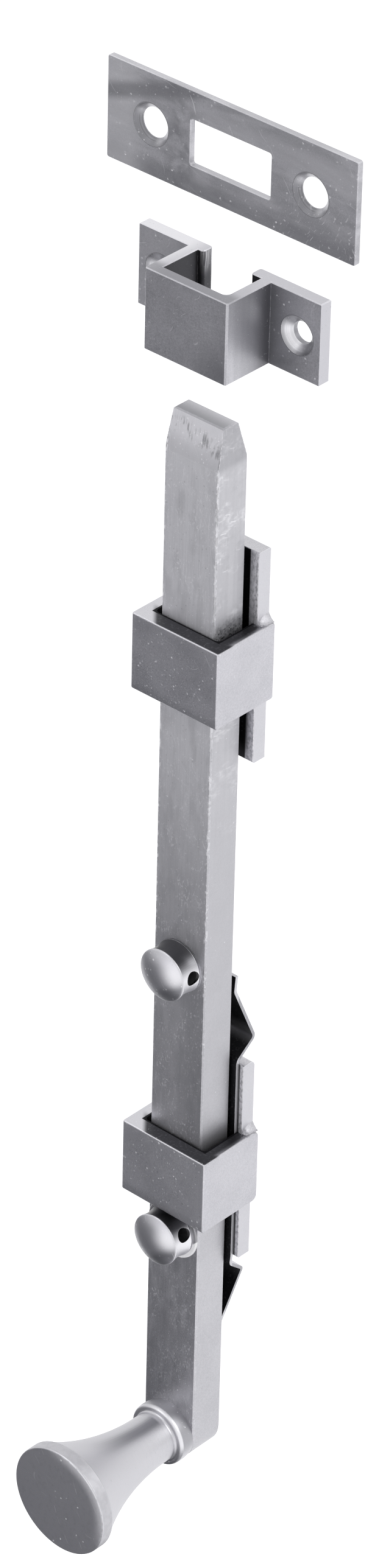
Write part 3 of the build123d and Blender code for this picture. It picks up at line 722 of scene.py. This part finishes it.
def knob_finish():
    """Turned knob: smooth light flare, flat face with fine scratches, and a painted highlight on the face
    and rim towards the upper right.
    """
    dark, light = (0.55, 0.546, 0.575), (0.62, 0.615, 0.645)
    steel = Finish("knob steel", dark, light, 0.97, (0.36, 0.4), contrast=0.8)
    x, _, z = steel.axes
    turning = steel.use("turning", {"Middle": KNOB_Z, "Marks": 3.0})
    radius, out = turning["Radius"], turning["Out"]
    steel.lay(turning["Marks"], SHADE, 0.05, height=0.1)
    face = steel.turned("Y", -0.93, -0.98)
    steel.lay(face, (0.58, 0.577, 0.61), 0.6, roughness=0.4)

    # Pale flare, with a dark band of painted reflection along the top of the neck
    flare = steel.both(steel.where(out, 22, 34), steel.turned("Y", -0.5, -0.2))
    steel.lay(flare, (0.64, 0.635, 0.665), 0.75, roughness=0.5, metallic=0.45)
    neck = steel.both(steel.where(out, BEAD_FRONT + 2.2, BEAD_FRONT + 3), steel.where(out, 46, 28))
    crown_reflection = steel.both(
        steel.turned("X", -0.25, 0.15),
        steel.turned("X", 0.55, 0.25),
        steel.turned("Z", 0, 0.3),
    )
    steel.lay([neck, crown_reflection], SHADE, 0.92)
    outside = steel.where(radius, KNOB_RADIUS - 0.6, KNOB_RADIUS - 0.3)
    band = steel.both(outside, steel.turned("Y", -0.6, -0.3))
    steel.lay(band, SHADE, 0.18)
    steel.lay([band, steel.patches(0.7, 0.42, 0.62)], SHADE, 0.13)

    # Bead at the foot, with painted shade on its top, a painted highlight on its upper shoulder and painted
    # shade in the hollow below
    bead = steel.both(steel.where(out, BEAD_FRONT + 0.5, BEAD_FRONT), steel.where(radius, 7.4, 7.6))
    steel.lay([bead, steel.turned("Z", -0.5, 0.2)], SHADE, 0.62, roughness=0.45)
    before_bead = steel.where(out, BEAD_FRONT, BEAD_FRONT + 0.4)
    shoulder = steel.both(before_bead, steel.where(out, BEAD_FRONT + 1.2, BEAD_FRONT + 0.9))
    upper_right = steel.both(steel.turned("X", -0.4, 0.1), steel.turned("Z", -0.25, 0.15))
    steel.lay([shoulder, upper_right], BRIGHT, 0.8, roughness=0.4, metallic=0.5)
    hollow = steel.both(before_bead, steel.where(out, BEAD_FRONT + 2.6, BEAD_FRONT + 1.8))
    steel.lay([hollow, steel.turned("Z", 0.1, -0.3)], SHADE, 0.9, roughness=0.5)

    # Painted highlight on the face and its rim, towards the upper right
    slant = maths(steel.tree, "MULTIPLY_ADD", z, 0.8, x)
    highlit_side = steel.where(slant, -57.5, -46.5)
    rub = steel.both(face, highlit_side, steel.where(radius, KNOB_RADIUS - 3.9, KNOB_RADIUS))
    steel.lay(rub, BRIGHT, 0.75, roughness=0.5, metallic=0.5)
    rim = steel.both(
        steel.where(radius, KNOB_RADIUS - 0.7, KNOB_RADIUS - 0.5),
        steel.where(radius, KNOB_RADIUS - 0.1, KNOB_RADIUS - 0.3),
        steel.where(out, KNOB_FACE - 0.8, KNOB_FACE - 0.4),
    )
    steel.lay([rim, highlit_side, steel.patches(0.8, 0.36, 0.5)], BRIGHT, 0.6, metallic=0.4)
    steel.lay([face, steel.patches(0.9, 0.5, 0.7)], SHADE, 0.1)
    steel.specks(PALE, spacing=0.6, size=0.14, share=0.6, within=face, strength=0.5, metallic=0.5)
    steel.specks(BRIGHT, spacing=1.8, size=0.3, share=0.4, within=face, strength=0.95, metallic=0.1)
    steel.specks(SHADE, spacing=0.9, size=0.17, share=0.5, within=face, strength=0.35, height=-0.3)
    steel.scratches(
        BRIGHT, degrees=-35, length=3, width=4.0, share=0.2, within=face, bend=6, line=0.035, strength=0.9
    )
    steel.scratches(
        BRIGHT, degrees=70, length=2.5, width=4.6, share=0.16, within=face, bend=6, line=0.035, strength=0.9
    )

    steel.specks(BRIGHT, spacing=0.9, size=0.16, share=0.5, within=bead, strength=0.8, metallic=0.3)
    steel.specks(SHADE, spacing=3.0, size=0.3, share=0.2, strength=0.3, height=-0.3)
    past_bead = steel.where(out, BEAD_FRONT + 1.5, BEAD_FRONT + 3)
    steel.specks(SHADE, spacing=0.7, size=0.16, share=0.5, within=past_bead, strength=0.16)
    steel.edges(radius=0.3, evenness=0.5, strength=0.6)
    return steel.close(bump=0.12)


def screw_finish():
    """Turned screw head with its slot."""
    steel = Finish("screw steel", DULL, SATIN, 0.97, (0.3, 0.4))
    steel.lay(steel.use("turning", {"Middle": KNOB_Z, "Marks": 6.0})["Marks"], SHADE, 0.3, height=0.5)
    steel.specks(BRIGHT, spacing=1.2, size=0.18, share=0.3, strength=0.6)
    steel.edges(radius=0.2, evenness=0.5)
    return steel.close()


def keeper_finish():
    """Cut box keeper: speckled front, pale wall that darkens inwards with painted shade, inside near black
    as painted shade.
    """
    steel = Finish("keeper steel", (0.44, 0.438, 0.465), LIGHT, 0.96, (0.36, 0.42))
    front, right, top = steel.front, steel.right, steel.top
    x, y, z = steel.axes
    streaks = steel.use("streaks", {"Across": (2.4, 2.4, 0.12)})

    # Inside of the box, near black as painted shade, and the sawn lip on its left
    not_top = steel.where(top, 0.5, 0.2)
    inside = steel.both(steel.where(steel.aside(), 9.6, 9.3), steel.where(y, -15.6, -15.3), not_top)
    steel.lay(inside, NEAR_BLACK, 0.95, roughness=0.5)
    upper_end = steel.where(z, KEEPER_Z + 3, KEEPER_Z + 9.5)
    lip = steel.both(inside, steel.where(x, -8.7, -8.3), steel.where(x, 0, -5), upper_end)
    steel.lay([lip, streaks["Fine"]], PALE, 0.9)

    # Front of the box, darker at its lower right
    box_front = steel.both(front, steel.where(y, -16, -17))
    steel.lay([box_front, steel.where(x, -2, 11), steel.where(z, KEEPER_Z + 3, KEEPER_Z - 9)], SHADE, 0.75)
    steel.lay(box_front, SHADE, 0.15)

    # Right wall, darker towards the wing as painted shade
    wall = steel.both(right, steel.where(x, 9.0, 11.0), steel.where(x, 14.0, 12.0))
    steel.lay([wall, streaks["Broad"]], SHADE, 0.15)
    slant = maths(steel.tree, "MULTIPLY_ADD", maths(steel.tree, "SUBTRACT", z, KEEPER_Z), 0.28, y)
    steel.lay([wall, steel.where(slant, -20.5, -10.0)], SHADE, 0.7)
    steel.lay([wall, steel.where(y, -10.0, -4.5)], NEAR_BLACK, 0.7)

    # Wings and cut ends
    wing = steel.both(front, steel.where(y, -6.0, -4.8))
    # Painted shade on the wing next to the box
    steel.lay([wing, steel.where(x, 26.0, 14.0), steel.where(x, 11.0, 11.8)], SHADE, 0.75)
    steel.lay([wing, steel.where(x, -14.0, -16.0)], PALE, 0.45)
    # Painted shade darkens the right end face
    steel.lay([right, steel.where(x, 25.0, 26.0)], SHADED_SIDE, 0.85, roughness=0.5)
    steel.lay(top, LIGHT, 0.85, roughness=0.45)
    steel.lay([top, steel.where(x, -7, -13)], BRIGHT, 0.8)
    steel.lay([top, steel.where(y, -12.5, -15.5)], SHADE, 0.6)
    # Countersinks with painted light where they face right or up and painted shade where they face left or
    # down
    steel.countersinks(KEEPER_Z, KEEPER_SCREW_OUT, 0, SCREW_HEAD, SCREW_BORE, BRIGHT, SHADE)

    steel.specks(BRIGHT, spacing=0.6, size=0.14, share=0.6, strength=0.45, metallic=0.6)
    steel.specks(BRIGHT, spacing=1.3, size=0.25, share=0.6, within=front, strength=0.75, metallic=0.25)
    corner = steel.both(wall, steel.where(y, -8, -5))
    steel.specks(BRIGHT, spacing=0.6, size=0.15, share=0.7, within=corner, strength=0.8, metallic=0.4)
    steel.specks(SHADE, spacing=1.0, size=0.18, share=0.5, strength=0.4, height=-0.4)
    steel.scratches(BRIGHT, degrees=40, length=4, width=4.0, share=0.14, within=front, bend=6, line=0.03)
    steel.edges(radius=0.35, evenness=0.5, strength=0.75)
    return steel.close()


def strike_finish():
    """Rolled strike plate: smudged along its length and lightly scratched."""
    dark, light = (0.46, 0.458, 0.485), (0.64, 0.635, 0.67)
    steel = Finish("strike steel", dark, light, 0.88, (0.36, 0.42), grain={"Cloud": 0.1})
    front = steel.front
    x, _, z = steel.axes
    steel.lay(steel.patches(0.11, 0.44, 0.6, stretch=(0.4, 1.0, 1.6), detail=3.0), SHADE, 0.4, roughness=0.5)
    steel.lay(steel.patches(0.35, 0.5, 0.7, stretch=(0.35, 1.0, 1.5), detail=4.0), SHADE, 0.2)
    steel.lay(steel.patches(0.3, 0.5, 0.7, stretch=(0.4, 1.0, 1.2), detail=4.0), PALE, 0.3)
    steel.lay([front, steel.where(z, STRIKE_Z - 6.5, STRIKE_Z - 10.5)], SHADE, 0.55)

    # Bright left end, a slanting dark smear, and a smudge between the left hole and the slot
    drift = maths(steel.tree, "MULTIPLY_ADD", x, -0.33, maths(steel.tree, "SUBTRACT", z, STRIKE_Z + 15.7))
    off_line = maths(steel.tree, "ABSOLUTE", drift)
    smear = steel.both(front, steel.where(off_line, 3.2, 0.6), steel.where(x, 2, -14))
    steel.lay([front, steel.where(x, -22, -30)], BRIGHT, 0.45)
    steel.lay(smear, SHADE, 0.7)
    by_slot = [front, steel.where(x, -20, -15), steel.where(x, -9, -12)]
    steel.lay([*by_slot, steel.patches(0.3, 0.4, 0.6)], SHADE, 0.5)
    from_below = steel.both(front, steel.where(z, STRIKE_Z + 2, STRIKE_Z + 6))
    from_above = steel.where(z, STRIKE_Z + 11, STRIKE_Z + 8)
    steel.lay([from_below, from_above, steel.where(x, -20, 5)], PALE, 0.35)
    steel.lay(steel.top, PALE, 0.4)
    steel.lay(steel.right, SHADE, 0.15)
    # Countersinks painted dark as shade where they face right or up, and pale as light where they face left
    # or down
    steel.countersinks(STRIKE_Z, STRIKE_SCREW_OUT, 0, STRIKE_HEAD, STRIKE_BORE, (0.16, 0.16, 0.172), PALE)

    # Rash of bright specks and scratches at the lower right
    rash = steel.both(steel.where(x, 8, 26), steel.where(z, STRIKE_Z + 5, STRIKE_Z - 9), front)
    thick = [rash, steel.patches(0.3, 0.42, 0.6)]
    steel.specks(BRIGHT, spacing=0.6, size=0.18, share=0.8, within=thick, strength=0.8, metallic=0.3)
    steel.scratches(
        BRIGHT, degrees=25, length=2, width=1.2, share=0.5, within=rash, bend=4, line=0.09, strength=0.9
    )
    steel.lay([front, steel.where(x, 6, 24), steel.where(z, STRIKE_Z - 2, STRIKE_Z - 9)], SHADE, 0.35)

    steel.specks(BRIGHT, spacing=0.6, size=0.15, share=0.6, within=front, strength=0.5, metallic=0.5)
    steel.specks(BRIGHT, spacing=1.4, size=0.28, share=0.6, within=front, strength=0.95, metallic=0.1)
    steel.specks(SHADE, spacing=1.4, size=0.24, share=0.5, within=front, strength=0.4, height=-0.3)
    steel.scratches(BRIGHT, degrees=-40, length=4, width=5.0, share=0.2, within=front, bend=6, line=0.03)
    steel.scratches(
        PALE, degrees=80, length=10, width=4.0, share=0.12, within=front, bend=4, line=0.03, strength=0.5
    )
    steel.edges(radius=0.3, evenness=0.6, strength=0.75)
    return steel.close()


def dress_the_pieces():
    """Gives every piece of the bolt its finish."""
    rim = STOP_RIM - BAR_FRONT
    finishes = {
        "bolt_bar": bar_finish(),
        # The last number of each guide is the painted light on its front
        "upper_guide_sleeve": guide_finish("upper guide steel", UPPER_GUIDE_Z, 0.02),
        "lower_guide_sleeve": guide_finish("lower guide steel", LOWER_GUIDE_Z, 0.25),
        "upper_guide_plate": plate_finish("upper plate steel", UPPER_GUIDE_Z, 8.2),
        "lower_guide_plate": plate_finish("lower plate steel", LOWER_GUIDE_Z, 9.7),
        "leaf_spring": spring_finish(),
        "upper_stop": stop_finish("upper stop steel", UPPER_STOP_Z, rim),
        "lower_stop": stop_finish("lower stop steel", LOWER_STOP_Z, rim + WASHER_THICKNESS),
        "lower_stop_washer": washer_finish(),
        "knob": knob_finish(),
        "knob_screw": screw_finish(),
        "box_keeper": keeper_finish(),
        "strike_plate": strike_finish(),
    }
    for name, finish in finishes.items():
        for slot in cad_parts[name].material_slots:
            slot.material = finish


# Braze bead, in millimetres from the middle of the bolt and the door face
BEAD_ROWS = 30
BEAD_COLUMNS = 16
BEAD_SIDE = 10.8
BEAD_WIDTH = 1.85
BEAD_RISE = 2.0
BEAD_LUMPS = 0.03
BEAD_SINK = 0.05


def add_braze_bead(name, side, middle, finish):
    """A lumpy sloped bead in the corner between the plate and the top of its sleeve."""
    points = []
    for row in range(BEAD_ROWS + 1):
        forward = row / BEAD_ROWS
        taper = 1 - forward**3
        for column in range(BEAD_COLUMNS + 1):
            out = column / BEAD_COLUMNS
            x, y = (BEAD_SIDE + BEAD_WIDTH * out) * side, PLATE_FRONT * forward
            lump = noise.fractal(Vector((x * 1.1, y * 0.9, middle)), 0.9, 2.0, 3)
            rise = (BEAD_RISE * (1 - out) ** 1.7 + BEAD_LUMPS * lump) * taper
            points.append(Vector((x, y, middle + GUIDE_TOP - BEAD_SINK + rise)) / MM_PER_M)
    faces = []
    for row in range(BEAD_ROWS):
        for column in range(BEAD_COLUMNS):
            first = row * (BEAD_COLUMNS + 1) + column
            above = first + BEAD_COLUMNS + 1
            corners = (first, first + 1, above + 1, above)
            faces.append(corners[::-1] if side > 0 else corners)
    mesh = bpy.data.meshes.new(name)
    mesh.from_pydata(points, [], faces)
    mesh.shade_smooth()
    mesh.materials.append(finish)
    made = bpy.data.objects.new(name, mesh)
    bpy.context.scene.collection.objects.link(made)
    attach(made, "fixed")


def add_braze():
    """A bead on each side of both guides."""
    finish = braze_finish()
    for guide, middle in (("upper", UPPER_GUIDE_Z), ("lower", LOWER_GUIDE_Z)):
        for word, side in (("left", -1), ("right", 1)):
            add_braze_bead(f"{guide}_guide_braze_{word}", side, middle, finish)


# Stage, in metres: the floor lies just below the knob of the drawn bolt
BOLT_TRAVEL = 0.0417
FLOOR_GAP = 0.003
CARD_GAP = 0.0003
FLOOR_HEIGHT = solid_box[0][2] - BOLT_TRAVEL - FLOOR_GAP
FLOOR_WHITE = (0.85, 0.85, 0.85, 1)
FLOOR_GLOW = 0.42
WEDGE_START = [(0, 0), (0.03, -0.05), (0.03, -0.17), (-0.03, -0.2)]
WEDGE_STEPS = 8


def flat_mesh(name, corners, centre=(0, 0, 0), turn=(0, 0, 0)):
    """A flat stage piece with the given corners."""
    mesh = bpy.data.meshes.new(name)
    mesh.from_pydata([(x, y, 0) for x, y in corners], [], [tuple(range(len(corners)))])
    made = bpy.data.objects.new(name, mesh)
    made.location = centre
    made.rotation_euler = [math.radians(a) for a in turn]
    bpy.context.scene.collection.objects.link(made)
    return made


def sheet(name, centre, size, turn=(0, 0, 0)):
    """A flat rectangular stage sheet."""
    x, y = size[0] / 2, size[1] / 2
    return flat_mesh(name, [(-x, -y), (x, -y), (x, y), (-x, y)], centre, turn)


def wedge(name, height, reach, first, last):
    """A wedge from under the bolt and its knob, between two headings in degrees left of the front."""
    corners = list(WEDGE_START)
    for step in range(WEDGE_STEPS + 1):
        heading = math.radians(first + (last - first) * step / WEDGE_STEPS)
        corners.append((-reach * math.sin(heading), -reach * math.cos(heading)))
    return flat_mesh(name, corners, (0, 0, height))


def background_mix(tree, seen, lit):
    """Shows `seen` to camera, glossy and transmission rays, and `lit` to the others."""
    path = tree.nodes.new("ShaderNodeLightPath").outputs
    plain = maths(tree, "MAXIMUM", path["Is Camera Ray"], path["Is Glossy Ray"])
    every = maths(tree, "MAXIMUM", plain, path["Is Transmission Ray"])
    return add(tree, "ShaderNodeMixShader", {0: every, 1: lit, 2: seen}).outputs[0]


def add_world():
    """White behind the bolt, and a soft grey light from all round."""
    world = bpy.data.worlds.new("studio")
    world.use_nodes = True
    tree = world.node_tree
    tree.nodes.clear()
    seen = add(tree, "ShaderNodeBackground", {"Color": (1, 1, 1, 1)})
    lit = add(tree, "ShaderNodeBackground", {"Color": (0.7, 0.7, 0.71, 1)})
    out = add(tree, "ShaderNodeOutputWorld")
    tree.links.new(background_mix(tree, seen.outputs[0], lit.outputs[0]), out.inputs["Surface"])
    bpy.context.scene.world = world


def bare_material(name):
    """A material with an empty node tree."""
    made = bpy.data.materials.new(name)
    made.use_nodes = True
    made.node_tree.nodes.clear()
    return made


def add_floor():
    """A white floor that glows a little, so that it fades into the white behind it."""
    floor = sheet("floor", (0, 0, FLOOR_HEIGHT), (12, 12))
    made = bare_material("floor white")
    tree = made.node_tree
    diffuse = add(tree, "ShaderNodeBsdfDiffuse", {"Color": FLOOR_WHITE})
    glow = add(tree, "ShaderNodeEmission", {"Strength": FLOOR_GLOW})
    both = add(tree, "ShaderNodeAddShader", {0: diffuse.outputs[0], 1: glow.outputs[0]})
    out = add(tree, "ShaderNodeOutputMaterial")
    tree.links.new(background_mix(tree, both.outputs[0], diffuse.outputs[0]), out.inputs["Surface"])
    floor.data.materials.append(made)


def add_card(name, card, grey):
    """Makes a sheet a grey card that only reflections see."""
    made = bare_material(name)
    tree = made.node_tree
    glow = add(tree, "ShaderNodeEmission", {"Color": (*grey, 1)})
    out = add(tree, "ShaderNodeOutputMaterial")
    tree.links.new(glow.outputs[0], out.inputs["Surface"])
    card.data.materials.append(made)
    for ray in ("camera", "diffuse", "shadow", "transmission", "volume_scatter"):
        setattr(card, "visible_" + ray, False)


def add_lamp(name, place, target, size, watts):
    """An area lamp aimed at a target."""
    lamp = bpy.data.objects.new(name, bpy.data.lights.new(name, "AREA"))
    lamp.data.shape = "RECTANGLE"
    lamp.data.size, lamp.data.size_y = size
    lamp.data.energy = watts
    lamp.location = place
    aim = Vector(target) - Vector(place)
    lamp.rotation_euler = aim.to_track_quat("-Z", "Y").to_euler()
    lamp.visible_camera = False
    bpy.context.scene.collection.objects.link(lamp)


add_camera()
dress_the_pieces()
add_braze()
add_world()
add_floor()
floor_card = wedge("floor card", FLOOR_HEIGHT + CARD_GAP, reach=1.35, first=15, last=82)
head_card = sheet("head card", centre=(-0.22, -1.15, 0.06), size=(0.75, 0.36), turn=(90, 0, -10))
high_card = sheet("high card", centre=(-0.6, -1.7, 1.1), size=(1.6, 1.2), turn=(90, 0, -14))
add_card("floor card", floor_card, (0.165, 0.167, 0.181))
add_card("head card", head_card, (1.2, 1.19, 1.23))
add_card("high card", high_card, (0.3, 0.302, 0.32))
add_lamp("key", place=(1.3, 0.3, 1.2), target=(0, 0, 0.1), size=(1.0, 1.0), watts=8)
add_lamp("fill", place=(-0.6, -1.4, 1.0), target=(0, 0, 0.1), size=(0.8, 0.8), watts=5)

bpy.context.scene.view_settings.view_transform = "Standard"
